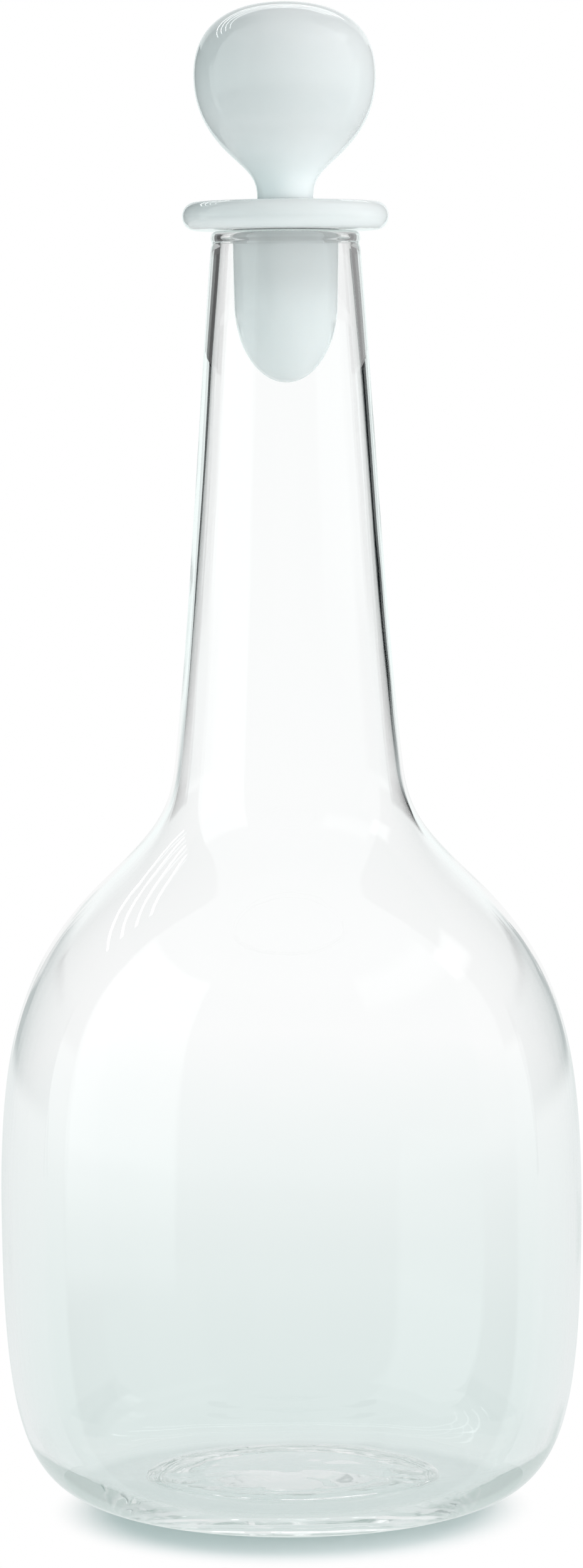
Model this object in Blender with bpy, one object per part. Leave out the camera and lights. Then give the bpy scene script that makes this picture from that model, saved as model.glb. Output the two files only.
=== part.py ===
# A blown clear glass decanter with a round opal glass stopper.
# Lengths are in metres, with +Z up. The origin is the centre of the base, on the
# surface that the bottle stands on, and every piece is turned about the Z axis.

import math

import bmesh
import bpy
from mathutils import Vector

MM = 0.001

# Bottle, outside: radius and height of each place where the wall changes direction
BOTTLE_HEIGHT = 259.3 * MM
BELLY_RADIUS = 59.6 * MM
BELLY_HEIGHT = 62.0 * MM
SHOULDER_RADIUS = 38.0 * MM
SHOULDER_HEIGHT = 127.7 * MM
NECK_FOOT_RADIUS = 23.3 * MM
NECK_FOOT_HEIGHT = 151.0 * MM
MOUTH_RADIUS = 15.15 * MM

# Bottle, outside: how far each curve runs along its own direction before it turns
REST_HANDLE = 23.0 * MM
BELLY_LOWER_HANDLE = 50.0 * MM
BELLY_UPPER_HANDLE = 36.0 * MM
SHOULDER_LOWER_HANDLE = 21.5 * MM
SHOULDER_UPPER_HANDLE = 13.5 * MM
NECK_FOOT_LOWER_HANDLE = 10.0 * MM
NECK_FOOT_UPPER_HANDLE = 30.0 * MM
NECK_TOP_HANDLE = 25.0 * MM
SHOULDER_ANGLE = math.radians(136.0)
NECK_FOOT_ANGLE = math.radians(96.6)
NECK_TOP_ANGLE = math.radians(94.9)

# Base: the flat ring that it stands on, and the hollow pushed up inside the ring
REST_RADIUS = 32.0 * MM
PUNT_RADIUS = 28.4 * MM
PUNT_DEPTH = 3.0 * MM
PUNT_FLAT_SHARE = 0.85
PUNT_FLANK_SHARE = 0.55
FLOOR_RISE = 2.2 * MM
FLOOR_FLAT_SHARE = 0.5

# Wall of the blown glass, measured square to the surface
BASE_WALL = 3.2 * MM
HEEL_WALL = 1.9 * MM
HEEL_HEIGHT = 12.0 * MM
BELLY_WALL = 1.4 * MM
NECK_FOOT_WALL = 1.3 * MM
MOUTH_WALL = 1.95 * MM

# Lip: a fire-polished round rim above a shallow crease
LIP_DEPTH = 2.1 * MM
CREASE_DEPTH = 0.3 * MM
CREASE_RUN = 0.6 * MM
LIP_START_ANGLE = math.radians(-40.0)

# Stopper: flange, plug, knob on a short stem
FLANGE_RADIUS = 20.9 * MM
FLANGE_THICKNESS = 5.6 * MM
FLANGE_DOME = 0.6 * MM
FLANGE_ROUND = 2.5 * MM
PLUG_LENGTH = 30.4 * MM
PLUG_STRAIGHT = 14.4 * MM
PLUG_TAPER = 0.3 * MM
STEM_RADIUS = 5.7 * MM
STEM_HEIGHT = 8.3 * MM
STEM_FLARE = 4.8 * MM
STEM_HANDLE = 3.8 * MM
STEM_TOP_HANDLE = 5.0 * MM
STEM_ANGLE = math.radians(42.0)
KNOB_RADIUS = 18.4 * MM
KNOB_HEIGHT = 39.2 * MM
KNOB_WIDEST = 24.5 * MM
KNOB_FOOT_HANDLE = 6.0 * MM
KNOB_LOWER_HANDLE = 7.5 * MM
KNOB_UPPER_HANDLE = 9.5 * MM
KNOB_TOP_HANDLE = 12.0 * MM

# Clearances between pieces that touch or slide
SEAT_GAP = 0.3 * MM
JOIN_GAP = 0.3 * MM
FIT_GAP = 0.3 * MM
PLUG_CLEARANCE = 2.4 * MM

# Seal: a soft clear ring round the top of the plug, with two thin lips
SEAL_DROP = 0.3 * MM
SEAL_HEIGHT = 2.6 * MM
SEAL_SLEEVE = 0.7 * MM
SEAL_LIP_HEIGHT = 0.8 * MM

# Fineness of the turned shapes
BOTTLE_SIDES = 60
STOPPER_SIDES = 44
SEAL_SIDES = 40
SHARP_ANGLE = math.radians(35.0)
WELD_DISTANCE = 0.002 * MM


def curve(start, start_handle, end_handle, end, steps):
    """Points of one cubic curve in (radius, height), the start left out."""
    points = []
    for step in range(1, steps + 1):
        t = step / steps
        s = 1 - t
        points.append(
            start * s ** 3
            + start_handle * (3 * s * s * t)
            + end_handle * (3 * s * t * t)
            + end * t ** 3
        )
    return points


def along(angle, length):
    """A step of this length in a direction given from the radius axis."""
    return Vector((math.cos(angle), math.sin(angle))) * length


def arc(centre, across, up, first, last, steps):
    """Points of an elliptic arc, both ends included."""
    points = []
    for step in range(steps + 1):
        angle = first + (last - first) * step / steps
        points.append(centre + Vector((across * math.cos(angle), up * math.sin(angle))))
    return points


def turned(name, profile, sides, material):
    """Turns a profile of (radius, height) points about Z into one closed solid."""
    mesh = bpy.data.meshes.new(name)
    bm = bmesh.new()
    corners = [bm.verts.new((point.x, 0, point.y)) for point in profile]
    closed = profile[0].x > WELD_DISTANCE
    pairs = list(zip(corners, corners[1:]))
    if closed:
        pairs.append((corners[-1], corners[0]))
    edges = [bm.edges.new(pair) for pair in pairs]
    bmesh.ops.spin(
        bm,
        geom=corners + edges,
        cent=(0, 0, 0),
        axis=(0, 0, 1),
        angle=math.tau,
        steps=sides,
        use_merge=True,
    )
    bmesh.ops.remove_doubles(bm, verts=bm.verts, dist=WELD_DISTANCE)
    bmesh.ops.recalc_face_normals(bm, faces=bm.faces)
    bm.to_mesh(mesh)
    bm.free()
    mesh.shade_smooth()
    mesh.set_sharp_from_angle(angle=SHARP_ANGLE)
    mesh.materials.append(material)
    piece = bpy.data.objects.new(name, mesh)
    bpy.context.collection.objects.link(piece)
    return piece


def finish(name, colour, roughness, transmission, ior):
    """A Principled material in linear colour."""
    material = bpy.data.materials.new(name)
    material.use_nodes = True
    shader = material.node_tree.nodes["Principled BSDF"]
    shader.inputs["Base Color"].default_value = (*colour, 1)
    shader.inputs["Roughness"].default_value = roughness
    shader.inputs["Metallic"].default_value = 0
    shader.inputs["Transmission Weight"].default_value = transmission
    shader.inputs["IOR"].default_value = ior
    return material


def outer_wall():
    """Outside of the bottle from the edge of the resting ring up to the crease."""
    rest = Vector((REST_RADIUS, 0))
    belly = Vector((BELLY_RADIUS, BELLY_HEIGHT))
    shoulder = Vector((SHOULDER_RADIUS, SHOULDER_HEIGHT))
    foot = Vector((NECK_FOOT_RADIUS, NECK_FOOT_HEIGHT))
    top = Vector((MOUTH_RADIUS, BOTTLE_HEIGHT - LIP_DEPTH - CREASE_RUN))
    upright = math.pi / 2
    points = [rest]
    points += curve(
        rest,
        rest + along(0, REST_HANDLE),
        belly - along(upright, BELLY_LOWER_HANDLE),
        belly,
        8,
    )
    points += curve(
        belly,
        belly + along(upright, BELLY_UPPER_HANDLE),
        shoulder - along(SHOULDER_ANGLE, SHOULDER_LOWER_HANDLE),
        shoulder,
        7,
    )
    points += curve(
        shoulder,
        shoulder + along(SHOULDER_ANGLE, SHOULDER_UPPER_HANDLE),
        foot - along(NECK_FOOT_ANGLE, NECK_FOOT_LOWER_HANDLE),
        foot,
        5,
    )
    points += curve(
        foot,
        foot + along(NECK_FOOT_ANGLE, NECK_FOOT_UPPER_HANDLE),
        top - along(NECK_TOP_ANGLE, NECK_TOP_HANDLE),
        top,
        4,
    )
    return points


def wall_at(height):
    """Wall thickness at a height, eased between the places where it is named."""
    stations = [
        (0, BASE_WALL),
        (HEEL_HEIGHT, HEEL_WALL),
        (BELLY_HEIGHT, BELLY_WALL),
        (NECK_FOOT_HEIGHT, NECK_FOOT_WALL),
        (BOTTLE_HEIGHT - LIP_DEPTH, MOUTH_WALL),
    ]
    for (low, low_wall), (high, high_wall) in zip(stations, stations[1:]):
        if height <= high:
            share = max(0, height - low) / (high - low)
            return low_wall + (high_wall - low_wall) * share
    return MOUTH_WALL


def inner_wall(outside):
    """Inside of the bottle, each point set in from the outside by the wall."""
    points = []
    last = len(outside) - 1
    for index, point in enumerate(outside):
        before = outside[max(0, index - 1)]
        after = outside[min(last, index + 1)]
        run = Vector((1, 0)) if index == 0 else (after - before).normalized()
        inward = Vector((-run.y, run.x))
        points.append(point + inward * wall_at(point.y))
    return points


def bottle_profile():
    outside = outer_wall()
    inside = inner_wall(outside)
    crown = Vector((0, PUNT_DEPTH))
    rim = Vector((PUNT_RADIUS, 0))
    punt = [crown] + curve(
        crown,
        Vector((PUNT_RADIUS * PUNT_FLAT_SHARE, PUNT_DEPTH)),
        Vector((PUNT_RADIUS, PUNT_DEPTH * PUNT_FLANK_SHARE)),
        rim,
        5,
    )
    half_wall = MOUTH_WALL / 2
    lip_centre = Vector((MOUTH_RADIUS - half_wall, BOTTLE_HEIGHT - LIP_DEPTH / 2))
    crease = Vector((MOUTH_RADIUS - CREASE_DEPTH, BOTTLE_HEIGHT - LIP_DEPTH))
    lip = arc(lip_centre, half_wall, LIP_DEPTH / 2, LIP_START_ANGLE, math.pi, 7)
    floor_edge = inside[0]
    floor_centre = Vector((0, floor_edge.y + FLOOR_RISE))
    floor = curve(
        floor_edge,
        floor_edge - along(0, floor_edge.x * FLOOR_FLAT_SHARE),
        floor_centre + along(0, floor_edge.x * FLOOR_FLAT_SHARE),
        floor_centre,
        4,
    )
    return punt + outside + [crease] + lip + inside[::-1] + floor


def flange_profile(bottom, top):
    """A disc with a round edge and a slightly domed top face."""
    edge_top = top - FLANGE_DOME
    edge_height = edge_top - bottom
    edge_centre = Vector((FLANGE_RADIUS - FLANGE_ROUND, bottom + edge_height / 2))
    half_turn = math.pi / 2
    edge = arc(edge_centre, FLANGE_ROUND, edge_height / 2, -half_turn, half_turn, 8)
    crown = Vector((STEM_RADIUS, top))
    dome = curve(
        edge[-1],
        edge[-1] - along(0, FLANGE_ROUND),
        crown + along(0, FLANGE_ROUND),
        crown,
        3,
    )
    return [Vector((0, bottom))] + edge + dome + [Vector((0, top))]


def plug_profile(top, radius):
    """A round bar with a half-round lower end."""
    end_radius = radius - PLUG_TAPER
    end_length = PLUG_LENGTH - PLUG_STRAIGHT
    end_centre = Vector((0, top - PLUG_STRAIGHT))
    end = arc(end_centre, end_radius, end_length, -math.pi / 2, 0, 9)
    end[0] = Vector((0, top - PLUG_LENGTH))
    return end + [Vector((radius, top)), Vector((0, top))]


def knob_profile(bottom):
    """A short stem that opens into a ball, a little flattened on top."""
    waist = Vector((STEM_RADIUS, bottom))
    throat = Vector((STEM_RADIUS + STEM_FLARE, bottom + STEM_HEIGHT))
    widest = Vector((KNOB_RADIUS, bottom + KNOB_WIDEST))
    crown = Vector((0, bottom + KNOB_HEIGHT))
    upright = math.pi / 2
    points = [Vector((0, bottom)), waist]
    points += curve(
        waist,
        waist + along(upright, STEM_HANDLE),
        throat - along(STEM_ANGLE, STEM_TOP_HANDLE),
        throat,
        5,
    )
    points += curve(
        throat,
        throat + along(STEM_ANGLE, KNOB_FOOT_HANDLE),
        widest - along(upright, KNOB_LOWER_HANDLE),
        widest,
        6,
    )
    points += curve(
        widest,
        widest + along(upright, KNOB_UPPER_HANDLE),
        crown + along(0, KNOB_TOP_HANDLE),
        crown,
        7,
    )
    return points


def seal_profile(top, plug_radius, bore_radius):
    """A thin sleeve with two lips that reach out to the bore."""
    inside = plug_radius + FIT_GAP
    sleeve = inside + SEAL_SLEEVE
    outside = bore_radius - FIT_GAP
    bottom = top - SEAL_HEIGHT
    lip_round = SEAL_LIP_HEIGHT / 2
    points = [Vector((inside, top)), Vector((inside, bottom))]
    for lip_centre in (bottom + lip_round, top - lip_round):
        points.append(Vector((sleeve, lip_centre - lip_round)))
        points += arc(
            Vector((outside - lip_round, lip_centre)),
            lip_round,
            lip_round,
            -math.pi / 2,
            math.pi / 2,
            4,
        )
        points.append(Vector((sleeve, lip_centre + lip_round)))
    return points


def build():
    for item in list(bpy.context.scene.objects):
        bpy.data.objects.remove(item)

    clear = finish("clear_blown_glass", (0.93, 0.96, 0.95), 0.02, 1, 1.5)
    opal = finish("opal_glass", (0.85, 0.89, 0.88), 0.08, 0, 1.5)
    silicone = finish("clear_silicone", (0.88, 0.91, 0.9), 0.3, 0.7, 1.41)

    bore_radius = MOUTH_RADIUS - MOUTH_WALL
    plug_radius = bore_radius - PLUG_CLEARANCE
    flange_bottom = BOTTLE_HEIGHT + SEAT_GAP
    flange_top = flange_bottom + FLANGE_THICKNESS + FLANGE_DOME

    turned("glass_body", bottle_profile(), BOTTLE_SIDES, clear)
    turned("stopper_flange", flange_profile(flange_bottom, flange_top), STOPPER_SIDES, opal)
    turned(
        "stopper_plug",
        plug_profile(flange_bottom - JOIN_GAP, plug_radius),
        STOPPER_SIDES,
        opal,
    )
    turned("stopper_knob", knob_profile(flange_top + JOIN_GAP), STOPPER_SIDES, opal)
    turned(
        "seal_ring",
        seal_profile(BOTTLE_HEIGHT - SEAL_DROP, plug_radius, bore_radius),
        SEAL_SIDES,
        silicone,
    )


build()
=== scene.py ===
import math

import bpy
from mathutils import Euler, Matrix, Vector


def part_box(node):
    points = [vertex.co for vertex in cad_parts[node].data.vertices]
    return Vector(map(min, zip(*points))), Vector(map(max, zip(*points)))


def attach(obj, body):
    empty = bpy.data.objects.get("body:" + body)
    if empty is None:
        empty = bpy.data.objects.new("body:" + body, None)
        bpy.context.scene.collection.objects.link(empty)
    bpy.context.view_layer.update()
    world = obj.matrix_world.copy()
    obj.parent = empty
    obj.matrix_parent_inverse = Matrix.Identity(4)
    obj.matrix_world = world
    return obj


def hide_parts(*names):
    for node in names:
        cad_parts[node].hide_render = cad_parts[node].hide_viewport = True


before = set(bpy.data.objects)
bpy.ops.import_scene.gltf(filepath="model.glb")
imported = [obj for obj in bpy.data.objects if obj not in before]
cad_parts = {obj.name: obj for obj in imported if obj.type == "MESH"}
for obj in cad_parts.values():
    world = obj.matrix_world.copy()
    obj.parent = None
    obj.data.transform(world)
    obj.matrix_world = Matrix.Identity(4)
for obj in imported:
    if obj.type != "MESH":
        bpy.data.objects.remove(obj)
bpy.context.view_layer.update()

mm = 0.001
print("frame loaded:", len(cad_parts), "nodes")


def hexToLinear(code):
    # sRGB hex to the linear colour that the shaders take
    channels = [int(code[i:i + 2], 16) / 255 for i in (0, 2, 4)]
    return tuple(c / 12.92 if c <= 0.04045 else ((c + 0.055) / 1.055) ** 2.4 for c in channels)


def addNode(tree, kind, inputs=None, **settings):
    # one node with its settings; an input is a value, or a socket to link from
    node = tree.nodes.new(kind)
    for name, value in settings.items():
        setattr(node, name, value)
    for key, value in (inputs or {}).items():
        if isinstance(value, bpy.types.NodeSocket):
            tree.links.new(value, node.inputs[key])
        else:
            node.inputs[key].default_value = value
    return node


def makers(tree):
    # short ways to add a sum, an eased step, a blend, a soft band, and a level with several steps
    def calc(operation, *values):
        return addNode(tree, "ShaderNodeMath", dict(enumerate(values)), operation=operation).outputs[0]

    def ramp(value, start, end, kind="SMOOTHSTEP"):
        return addNode(tree, "ShaderNodeMapRange", {
            "Value": value, "From Min": start, "From Max": end,
        }, interpolation_type=kind).outputs[0]

    def mix(share, first, second, kind="MIX"):
        return addNode(tree, "ShaderNodeMix", {0: share, 6: first, 7: second},
                       data_type="RGBA", blend_type=kind).outputs[2]

    def band(value, ends, soft):
        # 1 between two values, with soft edges
        low, high = ends
        return calc("MULTIPLY", ramp(value, low - soft, low + soft), ramp(value, high + soft, high - soft))

    def graded(value, levels):
        total = levels[0][1]
        for (low, lowLevel), (high, highLevel) in zip(levels, levels[1:]):
            total = calc("ADD", total, calc("MULTIPLY", ramp(value, low, high), highLevel - lowLevel))
        return total

    return calc, ramp, mix, band, graded


# Shapes: every piece is round, so a profile of (radius, height) goes round Z

def cubic(start, startHandle, endHandle, end, steps):
    # points of one cubic curve, the start left out
    points = []
    for step in range(1, steps + 1):
        t = step / steps
        s = 1 - t
        points.append(start * s ** 3 + startHandle * (3 * s * s * t)
                      + endHandle * (3 * s * t * t) + end * t ** 3)
    return points


def along(degrees, length):
    angle = math.radians(degrees)
    return Vector((math.cos(angle), math.sin(angle))) * length


def arc(centre, across, up, first, last, steps):
    points = []
    for step in range(steps + 1):
        angle = math.radians(first + (last - first) * step / steps)
        points.append(centre + Vector((across * math.cos(angle), up * math.sin(angle))))
    return points


turning = {
    "weld": 1e-6,
    "wallShift": 7.3,       # in the noise, so that the two walls differ
    "rippleShift": 3.1,
    "sharpAngle": 40,       # degrees
}


def makeTurningTree(s):
    # Geometry Nodes lathe: a grid is wrapped round the axis, one row for each profile
    # point, and each surface then swells and sinks a little as hand-worked glass does
    tree = bpy.data.node_groups.new("turnedGlass", "GeometryNodeTree")
    face = tree.interface
    face.new_socket("Geometry", in_out="INPUT", socket_type="NodeSocketGeometry")
    face.new_socket("Sides", in_out="INPUT", socket_type="NodeSocketInt")
    face.new_socket("Wave Length", in_out="INPUT", socket_type="NodeSocketFloat")
    face.new_socket("Ripple Length", in_out="INPUT", socket_type="NodeSocketFloat")
    face.new_socket("Seed", in_out="INPUT", socket_type="NodeSocketFloat")
    face.new_socket("Material", in_out="INPUT", socket_type="NodeSocketMaterial")
    face.new_socket("Geometry", in_out="OUTPUT", socket_type="NodeSocketGeometry")
    given = tree.nodes.new("NodeGroupInput").outputs
    profile = given["Geometry"]
    calc, *_ = makers(tree)
    rows = addNode(tree, "GeometryNodeAttributeDomainSize", {"Geometry": profile}).outputs["Point Count"]
    columns = calc("ADD", given["Sides"], 1)
    grid = addNode(tree, "GeometryNodeMeshGrid", {"Vertices X": rows, "Vertices Y": columns})
    index = tree.nodes.new("GeometryNodeInputIndex").outputs[0]
    row = calc("FLOOR", calc("DIVIDE", calc("ADD", index, 0.5), columns))
    column = calc("SUBTRACT", index, calc("MULTIPLY", row, columns))
    turn = calc("MULTIPLY", calc("DIVIDE", column, given["Sides"]), -math.tau)

    def fromProfile(field, dataType):
        return addNode(
            tree, "GeometryNodeSampleIndex",
            {"Geometry": profile, "Value": field, "Index": row},
            data_type=dataType, clamp=True,
        ).outputs[0]

    spot = tree.nodes.new("GeometryNodeInputPosition").outputs[0]
    point = addNode(tree, "ShaderNodeSeparateXYZ", {0: fromProfile(spot, "FLOAT_VECTOR")}).outputs
    place = addNode(tree, "ShaderNodeCombineXYZ", {
        "X": calc("MULTIPLY", point["X"], calc("COSINE", turn)),
        "Y": calc("MULTIPLY", point["X"], calc("SINE", turn)),
        "Z": point["Z"],
    })
    mesh = grid.outputs["Mesh"]
    for name in ("wave", "ripple", "wall"):
        read = addNode(tree, "GeometryNodeInputNamedAttribute", {"Name": name}, data_type="FLOAT")
        kept = addNode(
            tree, "GeometryNodeStoreNamedAttribute",
            {"Geometry": mesh, "Name": name, "Value": fromProfile(read.outputs[0], "FLOAT")},
            data_type="FLOAT", domain="POINT",
        )
        mesh = kept.outputs[0]
    wrapped = addNode(tree, "GeometryNodeSetPosition", {"Geometry": mesh, "Position": place.outputs[0]})
    merged = addNode(
        tree, "GeometryNodeMergeByDistance", {"Geometry": wrapped.outputs[0], "Distance": s["weld"]})

    def named(name):
        return addNode(tree, "GeometryNodeInputNamedAttribute", {"Name": name}, data_type="FLOAT").outputs[0]

    def swell(length, amount, shift):
        # noise of this wavelength, from -amount to +amount
        scale = calc("DIVIDE", 1.0, length)
        moved = addNode(tree, "ShaderNodeVectorMath", {0: spot, 3: scale}, operation="SCALE").outputs[0]
        w = calc("ADD", calc("ADD", given["Seed"], shift), calc("MULTIPLY", named("wall"), s["wallShift"]))
        noise = addNode(
            tree, "ShaderNodeTexNoise", {"Vector": moved, "W": w, "Scale": 1.0, "Detail": 1.0},
            noise_dimensions="4D",
        ).outputs[0]
        return calc("MULTIPLY", calc("MULTIPLY", calc("SUBTRACT", noise, 0.5), 2.0), amount)

    depth = calc("ADD", swell(given["Wave Length"], named("wave"), 0.0),
                 swell(given["Ripple Length"], named("ripple"), s["rippleShift"]))
    normal = tree.nodes.new("GeometryNodeInputNormal").outputs[0]
    push = addNode(tree, "ShaderNodeVectorMath", {0: normal, 3: depth}, operation="SCALE")
    waved = addNode(tree, "GeometryNodeSetPosition", {
        "Geometry": merged.outputs[0], "Offset": push.outputs[0],
    })
    smooth = addNode(tree, "GeometryNodeSetShadeSmooth", {"Geometry": waved.outputs[0]})
    real = addNode(tree, "GeometryNodeRealizeInstances", {"Geometry": smooth.outputs[0]})
    coated = addNode(tree, "GeometryNodeSetMaterial", {
        "Geometry": real.outputs[0], "Material": given["Material"],
    })
    addNode(tree, "NodeGroupOutput", {"Geometry": coated.outputs[0]})
    return tree


turningTree = makeTurningTree(turning)


def turn(name, profile, material, look):
    # profile: (point, wave, ripple, wall) for each point, from the axis or round a closed loop
    mesh = bpy.data.meshes.new(name)
    mesh.from_pydata([(point.x, 0, point.y) for point, *_ in profile], [], [])
    for place, key in enumerate(("wave", "ripple", "wall")):
        values = mesh.attributes.new(key, "FLOAT", "POINT")
        values.data.foreach_set("value", [row[place + 1] for row in profile])
    piece = bpy.data.objects.new(name, mesh)
    bpy.context.scene.collection.objects.link(piece)
    lathe = piece.modifiers.new("lathe", "NODES")
    lathe.node_group = turningTree
    sockets = {
        item.name: item.identifier
        for item in turningTree.interface.items_tree if item.in_out == "INPUT"
    }
    lathe[sockets["Sides"]] = look["sides"]
    lathe[sockets["Wave Length"]] = look["waveLength"]
    lathe[sockets["Ripple Length"]] = look["rippleLength"]
    lathe[sockets["Seed"]] = look["seed"]
    lathe[sockets["Material"]] = material
    solid = bpy.data.meshes.new_from_object(
        piece.evaluated_get(bpy.context.evaluated_depsgraph_get()))
    piece.modifiers.clear()
    piece.data = solid
    solid.name = name
    for key in ("wave", "ripple", "wall"):
        solid.attributes.remove(solid.attributes[key])
    solid.set_sharp_from_angle(angle=math.radians(turning["sharpAngle"]))
    print("turned", name, len(solid.polygons), "faces")
    return piece


# Materials

def newMaterial(name):
    material = bpy.data.materials.new(name)
    material.use_nodes = True
    tree = material.node_tree
    tree.nodes.clear()
    return material, tree, addNode(tree, "ShaderNodeOutputMaterial")


def patternAt(tree, millimetres, stretch=(1, 1, 1)):
    # Object coordinates scaled so that one unit of pattern is this many millimetres
    spot = addNode(tree, "ShaderNodeTexCoord").outputs["Object"]
    size = [1 / (millimetres * mm * s) for s in stretch]
    return addNode(tree, "ShaderNodeMapping", {"Vector": spot, "Scale": size}).outputs[0]


clearGlassLook = {
    "tint": "FFFFFF",
    "throughColour": "A8BFB9",      # what a thick piece of it shows
    "density": 6.0,
    "shadowTint": "FEFFFF",
    "baseShadowTint": "CDE2DE",     # the thick base holds back more of the lamps
    "baseReach": (12 * mm, 45 * mm),
    "roughness": 0.0,
    "ior": 1.52,
    "cordSize": 9,                  # mm
    "cordStretch": (1, 1, 6),
    "cordStrength": 0.04,
    "cordDepth": 1 * mm,
    "tooledRing": (24 * mm, 28.6 * mm),   # the pushed-up base, where tools left it uneven
    "tooledFade": (6 * mm, 2 * mm),
    "tooledBelow": 5 * mm,
    "tooledSize": 11,               # mm
    "tooledDepth": 2.0 * mm,
    "longestRun": 20,               # after so many turns in the walls, a painted pale glow (an emission) stands in for the light those paths would bring
    # the colour of that painted glow
    "glow": "E7EDEC",
}


def makeClearGlass(look):
    # blown soda-lime glass, fire-polished: no grain at all, only faint cords in the melt
    material, tree, out = newMaterial("blownSodaLimeGlass")
    calc, ramp, mix, *_ = makers(tree)
    cords = addNode(tree, "ShaderNodeTexNoise", {
        "Vector": patternAt(tree, look["cordSize"], look["cordStretch"]),
        "Scale": 1.0, "Detail": 2.0, "Roughness": 0.4,
    })
    cordBump = addNode(tree, "ShaderNodeBump", {
        "Height": cords.outputs[0], "Strength": look["cordStrength"], "Distance": look["cordDepth"],
    })
    # a wavy ring round the pushed-up middle of the base
    spot = addNode(tree, "ShaderNodeTexCoord").outputs["Object"]
    place = addNode(tree, "ShaderNodeSeparateXYZ", {0: spot}).outputs
    fromAxis = calc("SQRT", calc("ADD", calc("POWER", place["X"], 2.0), calc("POWER", place["Y"], 2.0)))
    inner, outer = look["tooledRing"]
    innerFade, outerFade = look["tooledFade"]
    ring = ramp(fromAxis, inner - innerFade, inner)
    ring = calc("MULTIPLY", ring, ramp(fromAxis, outer + outerFade, outer))
    ring = calc("MULTIPLY", ring, calc("LESS_THAN", place["Z"], look["tooledBelow"]))
    tooled = addNode(tree, "ShaderNodeTexNoise", {
        "Vector": patternAt(tree, look["tooledSize"]), "Scale": 1.0, "Detail": 1.0, "Distortion": 0.6,
    })
    bump = addNode(tree, "ShaderNodeBump", {
        "Height": calc("MULTIPLY", tooled.outputs[0], ring), "Strength": 1.0,
        "Distance": look["tooledDepth"], "Normal": cordBump.outputs[0],
    })
    glass = addNode(tree, "ShaderNodeBsdfPrincipled", {
        "Base Color": (*hexToLinear(look["tint"]), 1),
        "Roughness": look["roughness"],
        "IOR": look["ior"],
        "Transmission Weight": 1.0,
        "Normal": bump.outputs[0],
    })
    # lamps shine through it, as through real thin glass
    low, high = look["baseReach"]
    above = ramp(place["Z"], low, high, "LINEAR")
    held = mix(above, (*hexToLinear(look["baseShadowTint"]), 1), (*hexToLinear(look["shadowTint"]), 1))
    lit = addNode(tree, "ShaderNodeBsdfTransparent", {"Color": held})
    path = addNode(tree, "ShaderNodeLightPath").outputs
    shadowed = addNode(tree, "ShaderNodeMixShader", {
        0: path["Is Shadow Ray"], 1: glass.outputs[0], 2: lit.outputs[0],
    })
    # painted light: past longestRun turns the glass shows the glow colour as an emission
    trapped = calc("GREATER_THAN", path["Ray Depth"], look["longestRun"])
    glow = addNode(tree, "ShaderNodeEmission", {"Color": (*hexToLinear(look["glow"]), 1)})
    mixed = addNode(tree, "ShaderNodeMixShader", {0: trapped, 1: shadowed.outputs[0], 2: glow.outputs[0]})
    inside = addNode(tree, "ShaderNodeVolumeAbsorption", {
        "Color": (*hexToLinear(look["throughColour"]), 1), "Density": look["density"],
    })
    tree.links.new(mixed.outputs[0], out.inputs["Surface"])
    tree.links.new(inside.outputs[0], out.inputs["Volume"])
    return material


opalLook = {
    "pale": "F6F8F8",
    "cool": "EDF2F2",
    # painted light and shade by height in mm above the flange's underside, for the lower and the upper plug,
    # the flange,
    # the stem and the knob: the shaded stem and the plug behind the glass are painted whiter, the well-lit
    # knob and flange greyer
    "paintedLightByHeight": (
        (-17.6, 0.88), (-7.6, 0.75), (-0.8, 0.75), (0, 0.66), (5.4, 0.66),
        (6.4, 1.0), (7.0, 1.0), (20.4, 0.63),
    ),
    "cloudSize": 14,       # mm
    "rippleSize": 7,       # mm
    "rippleStretch": (1, 1, 0.6),
    "rippleStrength": 0.02,
    "rippleDepth": 1 * mm,
    "roughness": 0.015,
    "ior": 1.5,
    "cloud": 0.5,          # the share of light that goes under the skin
    "depth": 2.5 * mm,     # how far it wanders there
    "spread": (1.0, 0.95, 0.9),   # and how far of that in red, green and blue
    "paintedBandGlow": 0.42,          # painted light: an emission on a thin band round the plug, just under the flange, to lift the shade there
    "paintedBandHeights": (-1.0, -0.2),
}


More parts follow.
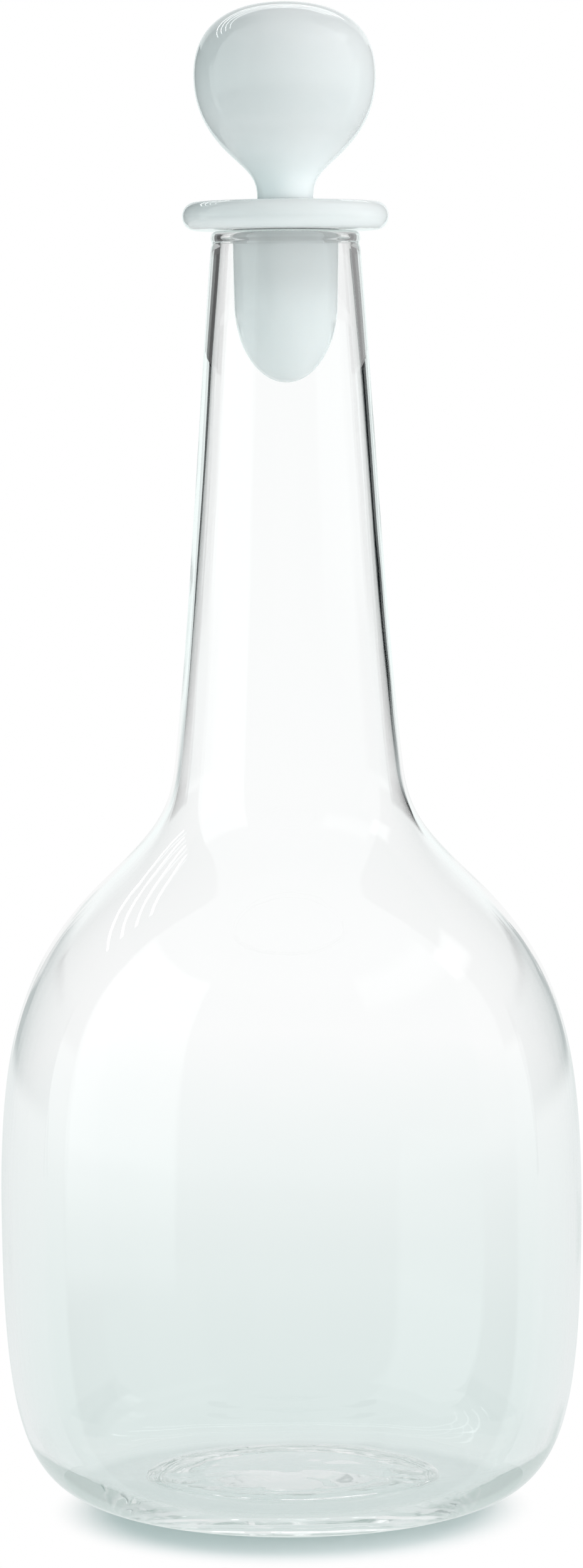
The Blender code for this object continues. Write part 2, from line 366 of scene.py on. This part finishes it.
def makeOpalGlass(look):
    # opal glass: white all through, with light scattering under a fire-polished skin
    material, tree, out = newMaterial("opalGlass")
    calc, _, mix, _, graded = makers(tree)
    clouds = addNode(tree, "ShaderNodeTexNoise", {
        "Vector": patternAt(tree, look["cloudSize"]), "Scale": 1.0, "Detail": 3.0,
    })
    clouded = mix(clouds.outputs[0], (*hexToLinear(look["pale"]), 1), (*hexToLinear(look["cool"]), 1))
    # painted light and shade: lighter where the stopper gets less light, greyer where it gets more, by
    # height
    spot = addNode(tree, "ShaderNodeTexCoord").outputs["Object"]
    up = addNode(tree, "ShaderNodeSeparateXYZ", {0: spot}).outputs["Z"]
    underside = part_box("stopper_flange")[0].z
    height = calc("DIVIDE", calc("SUBTRACT", up, underside), mm)
    colour = mix(1.0, clouded, graded(height, look["paintedLightByHeight"]), "MULTIPLY")
    ripples = addNode(tree, "ShaderNodeTexNoise", {
        "Vector": patternAt(tree, look["rippleSize"], look["rippleStretch"]), "Scale": 1.0, "Detail": 1.0,
    })
    bump = addNode(tree, "ShaderNodeBump", {
        "Height": ripples.outputs[0], "Strength": look["rippleStrength"], "Distance": look["rippleDepth"],
    })
    low, high = look["paintedBandHeights"]
    # painted light: this band of the opal glows by emission, though no lamp lights it
    paintedBand = calc("MULTIPLY", calc("GREATER_THAN", height, low), calc("LESS_THAN", height, high))
    opal = addNode(tree, "ShaderNodeBsdfPrincipled", {
        "Base Color": colour,
        "Emission Color": calc("MULTIPLY", paintedBand, look["paintedBandGlow"]),
        "Emission Strength": 1.0,
        "Roughness": look["roughness"],
        "IOR": look["ior"],
        "Subsurface Weight": look["cloud"],
        "Subsurface Radius": look["spread"],
        "Subsurface Scale": look["depth"],
        "Normal": bump.outputs[0],
    })
    tree.links.new(opal.outputs[0], out.inputs["Surface"])
    return material


siliconeLook = {
    "tint": "FFFFFF",
    "shadowTint": "FCFDFD",
    "roughness": 0.03,
    "ior": 1.41,
    "cover": 0.35,         # so thin a film hardly shows
    "grainSize": 0.6,      # mm
    "grainStrength": 0.05,
    "grainDepth": 0.2 * mm,
}


def makeSilicone(look):
    # clear silicone rubber, moulded: its skin has the fine grain of the mould
    material, tree, out = newMaterial("clearSilicone")
    grain = addNode(tree, "ShaderNodeTexNoise", {
        "Vector": patternAt(tree, look["grainSize"]), "Scale": 1.0, "Detail": 2.0,
    })
    bump = addNode(tree, "ShaderNodeBump", {
        "Height": grain.outputs[0], "Strength": look["grainStrength"], "Distance": look["grainDepth"],
    })
    rubber = addNode(tree, "ShaderNodeBsdfPrincipled", {
        "Base Color": (*hexToLinear(look["tint"]), 1),
        "Roughness": look["roughness"],
        "IOR": look["ior"],
        "Transmission Weight": 1.0,
        "Alpha": look["cover"],
        "Normal": bump.outputs[0],
    })
    lit = addNode(tree, "ShaderNodeBsdfTransparent", {"Color": (*hexToLinear(look["shadowTint"]), 1)})
    path = addNode(tree, "ShaderNodeLightPath").outputs["Is Shadow Ray"]
    mixed = addNode(tree, "ShaderNodeMixShader", {0: path, 1: rubber.outputs[0], 2: lit.outputs[0]})
    tree.links.new(mixed.outputs[0], out.inputs["Surface"])
    return material


clearGlass = makeClearGlass(clearGlassLook)
opalGlass = makeOpalGlass(opalLook)
silicone = makeSilicone(siliconeLook)
print("materials made")


# Bottle

glassLow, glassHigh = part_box("glass_body")

bottle = {
    "height": glassHigh.z,
    "bellyRadius": glassHigh.x,
    "bellyHeight": 62.0 * mm,
    "shoulder": (38.0 * mm, 127.7 * mm),
    "neckFoot": (23.3 * mm, 151.0 * mm),
    "mouthRadius": 15.15 * mm,
    "restRadius": 32.0 * mm,
    "puntRadius": 28.4 * mm,
    "puntDepth": 3.0 * mm,
    "puntFlatShare": 0.85,
    "puntFlankShare": 0.55,
    "floorRise": 2.2 * mm,
    "baseWall": 3.2 * mm,
    "heelWall": 1.9 * mm,
    "heelHeight": 12.0 * mm,
    "bellyWall": 1.4 * mm,
    "neckFootWall": 1.3 * mm,
    "mouthWall": 1.95 * mm,
    "lipDepth": 2.6 * mm,
    "creaseDepth": 0.25 * mm,
    "creaseRun": 0.7 * mm,
    # slopes in degrees, and how far each curve keeps its slope at its two ends
    "heelPull": 23 * mm,
    "bellyPulls": (50 * mm, 36 * mm),
    "shoulderSlope": 136,
    "shoulderPulls": (21.5 * mm, 13.5 * mm),
    "footSlope": 96.6,
    "footPulls": (10 * mm, 30 * mm),
    "mouthSlope": 94.9,
    "mouthPull": 25 * mm,
    "sides": 240,
    # points on each curve
    "bellySteps": 44,
    "shoulderSteps": 34,
    "footSteps": 22,
    "neckSteps": 34,
    "puntSteps": 30,
    "lipSteps": 22,
    "floorSteps": 24,
    "lipStart": -40,            # degrees, where the lip's round leaves the crease
    "wave": 0.10 * mm,          # how far the blown wall swells
    "ripple": 0.02 * mm,
    "steadyUnderMouth": 30 * mm,
    "steadyAboveTable": 4 * mm,
    "steadyRoundAxis": 8 * mm,
    "baseRipple": 0.30 * mm,    # the pushed-up base is less even
    "baseRippleTo": 34 * mm,
    "baseRippleFade": 8 * mm,
    "baseRippleBelow": 14 * mm,
    "puntRipple": 0.45 * mm,
    "puntSteady": 0.3 * mm,
    "waveLength": 34 * mm,
    "rippleLength": 9 * mm,
    "seed": 4.0,
}


def outerWall(b):
    rest = Vector((b["restRadius"], 0))
    belly = Vector((b["bellyRadius"], b["bellyHeight"]))
    shoulder = Vector(b["shoulder"])
    foot = Vector(b["neckFoot"])
    top = Vector((b["mouthRadius"], b["height"] - b["lipDepth"] - b["creaseRun"]))
    slope, footSlope = b["shoulderSlope"], b["footSlope"]
    points = [rest]
    points += cubic(rest, rest + along(0, b["heelPull"]), belly - along(90, b["bellyPulls"][0]), belly,
                    b["bellySteps"])
    points += cubic(belly, belly + along(90, b["bellyPulls"][1]),
                    shoulder - along(slope, b["shoulderPulls"][0]), shoulder, b["shoulderSteps"])
    points += cubic(shoulder, shoulder + along(slope, b["shoulderPulls"][1]),
                    foot - along(footSlope, b["footPulls"][0]), foot, b["footSteps"])
    points += cubic(foot, foot + along(footSlope, b["footPulls"][1]),
                    top - along(b["mouthSlope"], b["mouthPull"]), top, b["neckSteps"])
    return points


def wallAt(b, height):
    stations = [
        (0, b["baseWall"]),
        (b["heelHeight"], b["heelWall"]),
        (b["bellyHeight"], b["bellyWall"]),
        (b["neckFoot"][1], b["neckFootWall"]),
        (b["height"] - b["lipDepth"], b["mouthWall"]),
    ]
    for (low, lowWall), (high, highWall) in zip(stations, stations[1:]):
        if height <= high:
            share = max(0, height - low) / (high - low)
            return lowWall + (highWall - lowWall) * share
    return b["mouthWall"]


def innerWall(b, outside):
    points = []
    last = len(outside) - 1
    for i, point in enumerate(outside):
        run = outside[min(last, i + 1)] - outside[max(0, i - 1)]
        run = Vector((1, 0)) if i == 0 else run.normalized()
        points.append(point + Vector((-run.y, run.x)) * wallAt(b, point.y))
    return points


def bottleProfile(b):
    outside = outerWall(b)
    inside = innerWall(b, outside)
    crown = Vector((0, b["puntDepth"]))
    rim = Vector((b["puntRadius"], 0))
    punt = [crown] + cubic(
        crown, Vector((rim.x * b["puntFlatShare"], crown.y)),
        Vector((rim.x, crown.y * b["puntFlankShare"])), rim, b["puntSteps"])
    halfWall = b["mouthWall"] / 2
    lipCentre = Vector((b["mouthRadius"] - halfWall, b["height"] - b["lipDepth"] / 2))
    crease = Vector((b["mouthRadius"] - b["creaseDepth"], b["height"] - b["lipDepth"]))
    lip = [crease] + arc(lipCentre, halfWall, b["lipDepth"] / 2, b["lipStart"], 180, b["lipSteps"])
    edge = inside[0]
    middle = Vector((0, edge.y + b["floorRise"]))
    pull = along(0, edge.x / 2)
    floor = cubic(edge, edge - pull, middle + pull, middle, b["floorSteps"])

    def eased(point, most):
        # no waves at the lip, the resting ring and the axis
        mouth = min(1, (b["height"] - point.y) / b["steadyUnderMouth"])
        foot = min(1, point.y / b["steadyAboveTable"])
        return most * max(0, mouth * foot) * min(1, point.x / b["steadyRoundAxis"])

    rows = []
    for points, wall in ((punt, 0), (outside, 0), (lip, 0), (inside[::-1], 1), (floor, 1)):
        for point in points:
            ripple = eased(point, b["ripple"])
            uneven = min(1, point.x / b["steadyRoundAxis"])
            if wall and point.y < b["baseRippleBelow"]:
                uneven *= max(0, min(1, (b["baseRippleTo"] - point.x) / b["baseRippleFade"]))
                ripple = max(ripple, b["baseRipple"] * uneven)
            elif points is punt:
                ripple = b["puntRipple"] * uneven * min(1, point.y / b["puntSteady"])
            rows.append((point, eased(point, b["wave"]), ripple, wall))
    return rows


glassBody = turn("blown_bottle", bottleProfile(bottle), clearGlass, bottle)


# Stopper: three gathers of opal glass, joined hot

flangeLow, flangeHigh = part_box("stopper_flange")
plugLow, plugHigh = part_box("stopper_plug")
knobLow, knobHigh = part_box("stopper_knob")

stopper = {
    "flangeDome": 0.6 * mm,
    "flangeRound": 2.5 * mm,
    "stemRadius": 5.7 * mm,
    "stemHeight": 8.3 * mm,
    "stemFlare": 4.8 * mm,
    "knobWidest": 24.5 * mm,
    "plugStraight": 14.4 * mm,
    "plugTaper": 0.3 * mm,
    "waistPull": 3.8 * mm,
    "throatSlope": 42,
    "throatPulls": (5 * mm, 6 * mm),
    "widestPulls": (7.5 * mm, 9.5 * mm),
    "crownPull": 12 * mm,
    "domePull": 2.5 * mm,
    "steady": 5 * mm,
    "sides": 160,
    # points on each curve
    "stemSteps": 18,
    "throatSteps": 26,
    "crownSteps": 36,
    "edgeSteps": 26,
    "domeSteps": 14,
    "plugSteps": 30,
    "wave": 0.04 * mm,
    "ripple": 0.004 * mm,
    "waveLength": 22 * mm,
    "rippleLength": 5 * mm,
    "seed": 11.0,
}


def waved(s, points):
    # no waves at the axis
    rows = []
    for point in points:
        share = min(1, point.x / s["steady"])
        rows.append((point, s["wave"] * share, s["ripple"] * share, 0))
    return rows


def knobProfile(s):
    bottom = flangeHigh.z
    waist = Vector((s["stemRadius"], bottom))
    throat = Vector((waist.x + s["stemFlare"], bottom + s["stemHeight"]))
    widest = Vector((knobHigh.x, knobLow.z + s["knobWidest"]))
    crown = Vector((0, knobHigh.z))
    points = [Vector((0, bottom)), waist]
    slope = s["throatSlope"]
    points += cubic(waist, waist + along(90, s["waistPull"]),
                    throat - along(slope, s["throatPulls"][0]), throat, s["stemSteps"])
    points += cubic(throat, throat + along(slope, s["throatPulls"][1]),
                    widest - along(90, s["widestPulls"][0]), widest, s["throatSteps"])
    points += cubic(widest, widest + along(90, s["widestPulls"][1]),
                    crown + along(0, s["crownPull"]), crown, s["crownSteps"])
    return points


def flangeProfile(s):
    bottom, top = flangeLow.z, flangeHigh.z
    rise = top - s["flangeDome"] - bottom
    centre = Vector((flangeHigh.x - s["flangeRound"], bottom + rise / 2))
    edge = arc(centre, s["flangeRound"], rise / 2, -90, 90, s["edgeSteps"])
    crown = Vector((s["stemRadius"], top))
    pull = along(0, s["domePull"])
    dome = cubic(edge[-1], edge[-1] - pull, crown + pull, crown, s["domeSteps"])
    return [Vector((0, bottom))] + edge + dome + [Vector((0, top))]


def plugProfile(s):
    bottom, top = plugLow.z, flangeLow.z
    radius = plugHigh.x
    centre = Vector((0, plugHigh.z - s["plugStraight"]))
    end = arc(centre, radius - s["plugTaper"], centre.y - bottom, -90, 0, s["plugSteps"])
    end[0] = Vector((0, bottom))
    return end + [Vector((radius, top)), Vector((0, top))]


knob = turn("opal_knob", waved(stopper, knobProfile(stopper)), opalGlass, stopper)
flange = turn("opal_flange", waved(stopper, flangeProfile(stopper)), opalGlass, stopper)
plug = turn("opal_plug", waved(stopper, plugProfile(stopper)), opalGlass, stopper)


# Seal: a clear ring round the top of the plug, with two soft lips

sealLow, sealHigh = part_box("seal_ring")

seal = {
    "clearance": 0.3 * mm,
    "sleeve": 0.25 * mm,
    "lipHeight": 0.3 * mm,
    "sides": 128,
    "lipSteps": 12,
    "waveLength": 20 * mm,
    "rippleLength": 4 * mm,
    "seed": 2.0,
}


def sealProfile(s):
    inside, outside = plugHigh.x + s["clearance"], sealHigh.x
    sleeve = inside + s["sleeve"]
    halfLip = s["lipHeight"] / 2
    points = [Vector((inside, sealHigh.z)), Vector((inside, sealLow.z))]
    for middle in (sealLow.z + halfLip, sealHigh.z - halfLip):
        points.append(Vector((sleeve, middle - halfLip)))
        points += arc(Vector((outside - halfLip, middle)), halfLip, halfLip, -90, 90, s["lipSteps"])
        points.append(Vector((sleeve, middle + halfLip)))
    return [(p, 0, 0, 0) for p in points + [points[0]]]


sealRing = turn("silicone_seal", sealProfile(seal), silicone, seal)

# the frame's bodies carry the pieces
for piece, body, node, slot in (
    (glassBody, "bottle", "glass_body", "clear_glass"),
    (knob, "stopper", "stopper_knob", "opal_glass"),
    (flange, "stopper", "stopper_flange", "opal_glass"),
    (plug, "stopper", "stopper_plug", "opal_glass"),
    (sealRing, "seal", "seal_ring", "clear_silicone"),
):
    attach(piece, body)
    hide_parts(node)
print("pieces set on their bodies")


# Studio: a white table and backdrop, dark flags at the sides, soft lamps

table = {
    "radius": 2.2,
    "sides": 96,
    "gap": 0.2 * mm,
    "colour": "F4F7F7",
    "glow": 0.03,
    "bounce": 0.62,                 # what it gives back to the stopper from below
    "shadowMiddle": (0, -0.012, 0),
    "shadowReach": (0.035, 0.050),  # it is plain white from here on
    "paintedShadowNear": "DFEBE9",        # painted shadow: darker and greener close by, as the table shows through the glass
    "throughReach": (0.05, 0.70),
    "throughShare": 0.7,            # how little of the shadow shows through the glass
}


def makeFloor(s):
    mesh = bpy.data.meshes.new("studio_floor")
    sides = s["sides"]
    ring = [along(360 * i / sides, s["radius"]) for i in range(sides)]
    mesh.from_pydata([(p.x, p.y, -s["gap"]) for p in ring], [], [list(range(sides))])
    floor = bpy.data.objects.new("studio_floor", mesh)
    bpy.context.scene.collection.objects.link(floor)
    material, tree, out = newMaterial("paintedTable")
    calc, ramp, mix, *_ = makers(tree)
    path = addNode(tree, "ShaderNodeLightPath").outputs
    direct = calc("LESS_THAN", path["Diffuse Depth"], 0.5)
    spot = addNode(tree, "ShaderNodeTexCoord").outputs["Object"]
    away = addNode(tree, "ShaderNodeVectorMath", {0: spot}, operation="LENGTH").outputs["Value"]
    # plain white to the eye; through the glass, a painted shadow, darker and greener near the bottle
    near = (*hexToLinear(s["paintedShadowNear"]), 1)
    paintedShade = mix(ramp(away, *s["throughReach"], "LINEAR"), near, (1, 1, 1, 1))
    through = calc("MULTIPLY", path["Is Transmission Ray"], direct)
    shade = mix(through, (1, 1, 1, 1), paintedShade)
    colour = mix(1.0, shade, (*hexToLinear(s["colour"]), 1), "MULTIPLY")
    paint = addNode(tree, "ShaderNodeBsdfDiffuse", {"Color": colour})
    seen = calc("MAXIMUM", path["Is Camera Ray"], through)
    strength = calc("ADD", s["bounce"], calc("MULTIPLY", seen, s["glow"] - s["bounce"]))
    light = addNode(tree, "ShaderNodeEmission", {"Color": shade, "Strength": strength})
    lit = addNode(tree, "ShaderNodeAddShader", {0: paint.outputs[0], 1: light.outputs[0]})
    white = addNode(tree, "ShaderNodeEmission", {"Color": shade, "Strength": 1.0})
    # past the shadow's reach it is as white as the backdrop
    fromShadow = addNode(tree, "ShaderNodeVectorMath", {0: spot, 1: s["shadowMiddle"]}, operation="DISTANCE")
    outside = ramp(fromShadow.outputs["Value"], *s["shadowReach"])
    share = calc("MULTIPLY", through, calc("MAXIMUM", outside, s["throughShare"]))
    share = calc("MAXIMUM", calc("MULTIPLY", path["Is Camera Ray"], outside), share)
    both = addNode(tree, "ShaderNodeMixShader", {0: share, 1: lit.outputs[0], 2: white.outputs[0]})
    # mirrored, the room's own levels go on below the table's edge
    mirrored = calc("MULTIPLY", calc("GREATER_THAN", path["Glossy Depth"], 0.5), direct)
    clear = addNode(tree, "ShaderNodeBsdfTransparent", {"Color": (1, 1, 1, 1)})
    shown = addNode(tree, "ShaderNodeMixShader", {0: mirrored, 1: both.outputs[0], 2: clear.outputs[0]})
    tree.links.new(shown.outputs[0], out.inputs["Surface"])
    mesh.materials.append(material)


# angles in degrees: high above the level, round to the left from the camera
studio = {
    "ambientLevels": ((14, 0.99), (38, 0.55)),   # white coves low down, less above
    "ambientColour": (0.87, 1.0, 1.005),
    "flag": "060A0C",
    "flagLeft": (35.5, 58),         # from the nearest of the four backdrops
    "flagRight": (26.5, 58),
    "flagHigh": (-8, 14),
    "flagSoft": (0.7, 1.5),         # how soft the edges are, round and high
    "panelRound": (46, 100),
    "panelHigh": (-12.5, 48),
    "panelSoft": (0.8, 1.2),
    "panelLight": 0.52,
    "frontLevels": (
        (-30, 0.10), (-14, 0.14), (-11, 0.36), (-6, 0.66), (-2, 0.90), (38, 0.86), (52, 1.0),
    ),
    "sideLevels": (
        (-30, 0.50), (-16, 0.80), (-8, 0.86), (-2, 1.0), (8, 1.0), (12, 0.30), (62, 0.30), (75, 0.80),
    ),
    "sideRound": ((99, 102), (142, 152)),      # dark gaps at both sides, softer behind
    "backLevels": ((-20, 0.80), (-2, 1.0), (14, 1.0), (24, 0.75)),
    "insideLevels": ((-8, 0.80), (0, 0.98)),   # what the walls mirror on their inner side
    "lowTint": (0.91, 1.0, 0.985),
    "highTint": (0.97, 1.0, 1.0),
    "tintHigh": (-20, 30),
    "glowRound": (-113, -94),       # a window, high on the right
    "glowHigh": (33, 43),
    "glowSoft": (2.5, 1.5),
    "glowLight": 1.0,
    "paleRound": (-94, -38),        # and its dimmer part
    "paleHigh": (37, 50),
    "paleSoft": (2.5, 4),
    "paleLight": 0.32,
    "tubesHigh": (32, 36.5, 41, 45.5),   # thin tube lamps, far behind and above
    "tubeHalf": 0.4,
    "tubesRound": (-62, 25),             # round from behind
    "tubesSoft": (0.8, 0.15),
    "tubesLight": 6.0,
}


def makeWorld(s):
    world = bpy.data.worlds.new("studio")
    bpy.context.scene.world = world
    world.use_nodes = True
    tree = world.node_tree
    tree.nodes.clear()
    calc, ramp, mix, band, graded = makers(tree)
    wayVector = addNode(tree, "ShaderNodeTexCoord").outputs["Generated"]
    way = addNode(tree, "ShaderNodeSeparateXYZ", {0: wayVector}).outputs

    def degrees(value):
        return calc("MULTIPLY", value, 180 / math.pi)

    aside = degrees(calc("ARCTAN2", calc("ABSOLUTE", way["X"]), calc("ABSOLUTE", way["Y"])))
    high = degrees(calc("ARCSINE", way["Z"]))
    round_ = degrees(calc("ARCTAN2", calc("MULTIPLY", way["X"], -1.0), calc("MULTIPLY", way["Y"], -1.0)))
    away = calc("ABSOLUTE", round_)
    white = (1, 1, 1, 1)
    dark = (*hexToLinear(s["flag"]), 1)

    # through the glass: white backdrops all round, with dark flags between them
    rightHand = calc("GREATER_THAN", calc("MULTIPLY", way["X"], way["Y"]), 0.0)
    softRound, softHigh = s["flagSoft"]
    flagRound = mix(rightHand, band(aside, s["flagLeft"], softRound), band(aside, s["flagRight"], softRound))
    flag = calc("MULTIPLY", flagRound, band(high, s["flagHigh"], softHigh))
    through = mix(flag, white, dark)

    # off the glass: levels in front, at the sides and behind, a tall panel, a window, tubes
    toSide, toBack = s["sideRound"]
    level = mix(ramp(away, *toSide), graded(high, s["frontLevels"]), graded(high, s["sideLevels"]))
    level = mix(ramp(away, *toBack), level, graded(high, s["backLevels"]))
    for name in ("panel", "glow", "pale"):
        softRound, softHigh = s[name + "Soft"]
        patch = calc("MULTIPLY", band(round_, s[name + "Round"], softRound),
                     band(high, s[name + "High"], softHigh))
        level = calc("ADD", level, calc("MULTIPLY", patch, s[name + "Light"]))
    fromBehind = degrees(calc("ARCTAN2", way["X"], way["Y"]))
    softRound, softHigh = s["tubesSoft"]
    tubes = 0.0
    for middle in s["tubesHigh"]:
        ends = (middle - s["tubeHalf"], middle + s["tubeHalf"])
        tubes = calc("ADD", tubes, band(high, ends, softHigh))
    tubes = calc("MULTIPLY", tubes, band(fromBehind, s["tubesRound"], softRound))
    level = calc("ADD", level, calc("MULTIPLY", tubes, s["tubesLight"]))
    path = addNode(tree, "ShaderNodeLightPath").outputs
    inside = calc("GREATER_THAN", path["Transmission Depth"], 0.5)
    inner = calc("MULTIPLY", inside, graded(high, s["insideLevels"]))
    level = calc("MAXIMUM", level, inner)
    tint = mix(ramp(high, *s["tintHigh"]), (*s["lowTint"], 1), (*s["highTint"], 1))
    mirrored = mix(1.0, tint, level, "MULTIPLY")
    behind = calc("MULTIPLY", flag, calc("GREATER_THAN", way["Y"], 0.0))
    mirrored = mix(behind, mirrored, dark)

    # the eye sees plain white, the glass sees the room, and the rest gets an even light
    direct = calc("LESS_THAN", path["Diffuse Depth"], 0.5)
    shown = mix(calc("GREATER_THAN", path["Glossy Depth"], 0.5), through, mirrored)
    shown = mix(path["Is Camera Ray"], shown, white)
    clearPath = calc("MAXIMUM", path["Is Glossy Ray"], path["Is Transmission Ray"])
    seen = calc("MAXIMUM", path["Is Camera Ray"], calc("MULTIPLY", clearPath, direct))
    plain = addNode(tree, "ShaderNodeBackground", {
        "Color": (*s["ambientColour"], 1), "Strength": graded(high, s["ambientLevels"]),
    })
    back = addNode(tree, "ShaderNodeBackground", {"Color": shown, "Strength": 1.0})
    mixed = addNode(tree, "ShaderNodeMixShader", {0: seen, 1: plain.outputs[0], 2: back.outputs[0]})
    out = addNode(tree, "ShaderNodeOutputWorld")
    tree.links.new(mixed.outputs[0], out.inputs["Surface"])


def addMirrored(name, points, faces, colour, light, limit):
    # something that only shows in reflections; limit gives how much of it shows, or None for all
    mesh = bpy.data.meshes.new(name)
    mesh.from_pydata(points, [], faces)
    piece = bpy.data.objects.new(name, mesh)
    bpy.context.scene.collection.objects.link(piece)
    material, tree, out = newMaterial(name)
    path = addNode(tree, "ShaderNodeLightPath").outputs
    glow = addNode(tree, "ShaderNodeEmission", {"Color": (*colour, 1), "Strength": light})
    clear = addNode(tree, "ShaderNodeBsdfTransparent", {"Color": (1, 1, 1, 1)})
    calc, ramp, *_ = makers(tree)
    mirrored = calc("GREATER_THAN", path["Glossy Depth"], 0.5)
    share = limit(tree, calc, ramp)
    if share is not None:
        mirrored = calc("MULTIPLY", mirrored, share)
    shown = addNode(tree, "ShaderNodeMixShader", {0: mirrored, 1: clear.outputs[0], 2: glow.outputs[0]})
    tree.links.new(shown.outputs[0], out.inputs["Surface"])
    mesh.materials.append(material)
    piece.visible_camera = False
    piece.visible_diffuse = False
    piece.visible_shadow = False


# curved cards that only the glass mirrors: radius and heights, turns in degrees from behind
cards = {
    "gapLeft": {"radius": 0.09, "high": (0.238, 0.315), "turns": (-79, -32), "light": 0.10},
    "gapRight": {"radius": 0.09, "high": (0.238, 0.315), "turns": (32, 79), "light": 0.30},
    "lowCard": {
        "radius": 0.20, "high": (-0.10, 0.085), "turns": (-80, 80), "light": 0.86,
        "colour": (0.96, 1.0, 1.0), "fade": 0.015,
    },
    "shadeLeft": {
        "radius": 0.21, "high": (0.05, 0.170), "turns": (-80, -32), "light": 0.55,
        "colour": (0.92, 1.0, 1.0), "fade": 0.03,
    },
    "shadeBack": {
        "radius": 0.21, "high": (0.05, 0.170), "turns": (-32, 32), "light": 0.95, "fade": 0.03,
    },
    "shadeRight": {
        "radius": 0.21, "high": (0.05, 0.170), "turns": (32, 80), "light": 0.52,
        "colour": (0.92, 1.0, 1.0), "fade": 0.03,
    },
}
cardSteps = 48


def addCard(name, card):
    low, high = card["high"]
    start, end = card["turns"]
    points = []
    for z in (low, high):
        for i in range(cardSteps + 1):
            angle = math.radians(start + (end - start) * i / cardSteps)
            points.append((card["radius"] * math.sin(angle), card["radius"] * math.cos(angle), z))
    faces = [(i, i + 1, i + cardSteps + 2, i + cardSteps + 1) for i in range(cardSteps)]

    def fadedTop(tree, calc, ramp):
        if "fade" not in card:
            return None
        spot = addNode(tree, "ShaderNodeTexCoord").outputs["Object"]
        up = addNode(tree, "ShaderNodeSeparateXYZ", {0: spot}).outputs["Z"]
        return ramp(up, high, high - card["fade"])

    addMirrored(name, points, faces, card.get("colour", (1.0, 1.0, 1.0)), card["light"], fadedTop)


# a flat ring under the flange: the table as the stopper mirrors it
topTable = {
    "inside": 0.019,
    "outside": 0.078,
    "back": 0.022,
    "height": 0.240,
    "light": 0.55,
    "sides": 96,
}


def addTopTable(name, s):
    sides = s["sides"]
    points = []
    for radius, shift in ((s["inside"], 0), (s["outside"], s["back"])):
        for i in range(sides):
            p = along(360 * i / sides, radius)
            points.append((p.x, p.y + shift, s["height"]))
    faces = [(i, sides + i, sides + (i + 1) % sides, (i + 1) % sides) for i in range(sides)]

    def fromAbove(tree, calc, ramp):
        under = addNode(tree, "ShaderNodeNewGeometry").outputs["Backfacing"]
        return calc("SUBTRACT", 1.0, under)

    addMirrored(name, points, faces, (1.0, 1.0, 1.0), s["light"], fromAbove)


lampColour = (1.0, 0.92, 0.93)
lamps = {
    "keySoftbox": {"place": (1.3, -0.75, 0.95), "target": (0, 0, 0.15), "size": 1.1, "watts": 5.5},
    "topSoftbox": {"place": (0.5, -0.2, 1.6), "target": (0, 0, 0.15), "size": 1.0, "watts": 9.8},
    "lowSoftbox": {"place": (1.2, -0.75, 0.36), "target": (0, 0, 0.25), "size": 0.5, "watts": 3.45},
}


def addLamp(name, s):
    light = bpy.data.lights.new(name, "AREA")
    light.color = lampColour
    light.shape = "RECTANGLE"
    light.size = light.size_y = s["size"]
    light.energy = s["watts"]
    lamp = bpy.data.objects.new(name, light)
    bpy.context.scene.collection.objects.link(lamp)
    back = (Vector(s["place"]) - Vector(s["target"])).normalized()
    lamp.matrix_world = Matrix.Translation(s["place"]) @ back.to_track_quat("Z", "Y").to_matrix().to_4x4()
    lamp.visible_camera = False
    lamp.visible_glossy = False
    lamp.visible_transmission = False


makeFloor(table)
makeWorld(studio)
for name, lamp in lamps.items():
    addLamp(name, lamp)
for name, card in cards.items():
    addCard(name, card)
addTopTable("topTable", topTable)
print("studio lit")


# Camera: about 0.95 m in front, looking a little down

view = {
    "distance": 0.95,
    "aside": 0.00102,
    "height": 0.228,
    "tilt": 4.863,          # degrees down
    "roll": 0.35,
    "focalPixels": 7443.0,
    "frameHeight": 2500.0,
    "sensor": 36,           # mm
    "clip": (0.01, 20),
}

lens = bpy.data.cameras.new("productCamera")
camera = bpy.data.objects.new("productCamera", lens)
bpy.context.scene.collection.objects.link(camera)
lens.sensor_fit = "VERTICAL"
lens.sensor_height = lens.sensor_width = view["sensor"]
lens.lens = view["focalPixels"] / view["frameHeight"] * lens.sensor_height
lens.clip_start, lens.clip_end = view["clip"]
camera.location = (view["aside"], -view["distance"], view["height"])
camera.rotation_euler = Euler((math.radians(90 - view["tilt"]), math.radians(view["roll"]), 0), "XYZ")
bpy.context.scene.camera = camera

longestPath = 32        # light runs a long way inside the walls
brightestBounce = 2.0

scene = bpy.context.scene
scene.view_settings.view_transform = "Standard"
scene.cycles.max_bounces = longestPath
scene.cycles.transmission_bounces = longestPath
scene.cycles.glossy_bounces = longestPath
scene.cycles.transparent_max_bounces = longestPath
scene.cycles.sample_clamp_indirect = brightestBounce

print("done")
